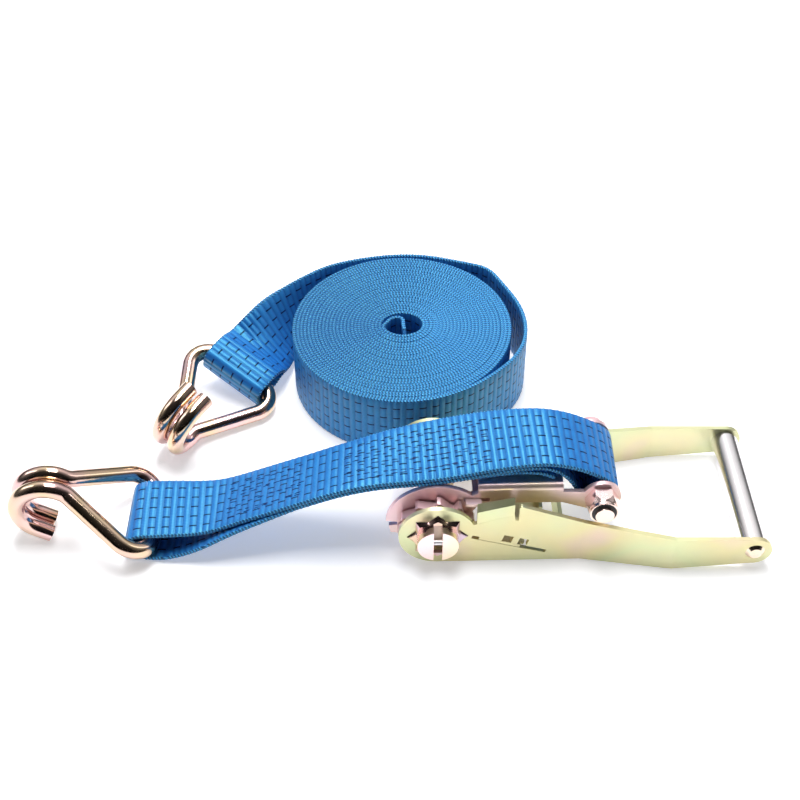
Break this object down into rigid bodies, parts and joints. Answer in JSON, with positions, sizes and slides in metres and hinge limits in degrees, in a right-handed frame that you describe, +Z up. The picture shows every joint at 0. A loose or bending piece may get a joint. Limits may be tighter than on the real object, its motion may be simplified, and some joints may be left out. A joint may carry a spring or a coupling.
{
  "type": "ratchet strap",
  "caption": "Ratchet tie-down strap: long-handled ratchet on a short sewn tail and a separate rolled strap, each ended by a double-claw wire hook.",
  "frame": {"origin": "on the floor straight under the middle of the ratchet's slotted spindle, where the axis of the strap slot meets the floor", "axes": "+X from the spindle towards the handle's grip, +Y along the spindle towards the rolled strap, +Z up"},
  "size_m": [0.4929, 0.2761, 0.0743],
  "materials": {
    "webbing": "woven polyester, satin",
    "zinc_plate": "yellow zinc passivated, glossy, faintly iridescent",
    "hook_zinc": "yellow zinc passivated wire, bright, pink and gold iridescence",
    "bright_steel": "bright drawn tube",
    "bolt_zinc": "yellow zinc passivated",
    "spring_steel": "bright spring wire",
    "black_nylon": "black nylon"
  },
  "bodies": {
    "ratchet_frame": {"frame": "zinc_plate", "strap_pin_bolt": "bolt_zinc", "strap_pin_nut": "bolt_zinc", "nut_locking_ring": "black_nylon", "strap_pin_sleeve": "bright_steel", "frame_spring_seat": "zinc_plate", "frame_spring_near": "spring_steel", "frame_spring_far": "spring_steel", "short_strap": "webbing"},
    "spindle": {"spindle_half_left": "zinc_plate", "spindle_half_right": "zinc_plate", "ratchet_wheel_near": "zinc_plate", "ratchet_wheel_far": "zinc_plate", "spindle_cotter_near": "spring_steel", "spindle_cotter_far": "spring_steel", "spindle_washer_near": "zinc_plate", "spindle_washer_far": "zinc_plate"},
    "handle": {"handle_plate_near": "zinc_plate", "handle_plate_far": "zinc_plate", "grip_sleeve": "bright_steel", "grip_rod": "bolt_zinc", "handle_spring_seat": "zinc_plate", "drive_spring_near": "spring_steel", "drive_spring_far": "spring_steel"},
    "drive_pawl": {"drive_pawl": "zinc_plate"},
    "frame_pawl": {"frame_pawl": "zinc_plate"},
    "short_hook": {"short_strap_hook": "hook_zinc"},
    "long_strap": {"long_strap_coil": "webbing", "long_strap_last_turn": "webbing", "long_strap_end": "webbing"},
    "long_hook": {"long_strap_hook": "hook_zinc"}
  },
  "joints": [
    {"name": "spindle_spin", "type": "hinge", "parent": "ratchet_frame", "child": "spindle", "pos_m": [0, 0, 0.025], "axis": [0, 1, 0], "continuous": true},
    {"name": "handle_swing", "type": "hinge", "parent": "ratchet_frame", "child": "handle", "pos_m": [0, 0, 0.025], "axis": [0, 1, 0], "range_deg": [0, 160]},
    {"name": "drive_pawl_slide", "type": "slide", "parent": "handle", "child": "drive_pawl", "axis": [0.9527, 0, -0.304], "range_m": [0, 0.007], "stiffness_N_per_m": 500, "springref_m": -0.006},
    {"name": "frame_pawl_slide", "type": "slide", "parent": "ratchet_frame", "child": "frame_pawl", "axis": [1, 0, 0], "range_m": [0, 0.005], "stiffness_N_per_m": 500, "springref_m": -0.005},
    {"name": "short_hook_swing", "type": "hinge", "parent": "ratchet_frame", "child": "short_hook", "pos_m": [-0.1865, -0.0081, 0.01], "axis": [0, 1, 0], "range_deg": [-30, 60]},
    {"name": "long_strap_lift", "type": "slide", "parent": "ratchet_frame", "child": "long_strap", "axis": [0, 0, 1], "range_m": [0, 0.2]},
    {"name": "long_hook_swing", "type": "hinge", "parent": "long_strap", "child": "long_hook", "pos_m": [-0.1357, 0.1263, 0.0198], "axis": [-0.7951, 0.5121, 0.325], "range_deg": [-30, 40]}
  ]
}
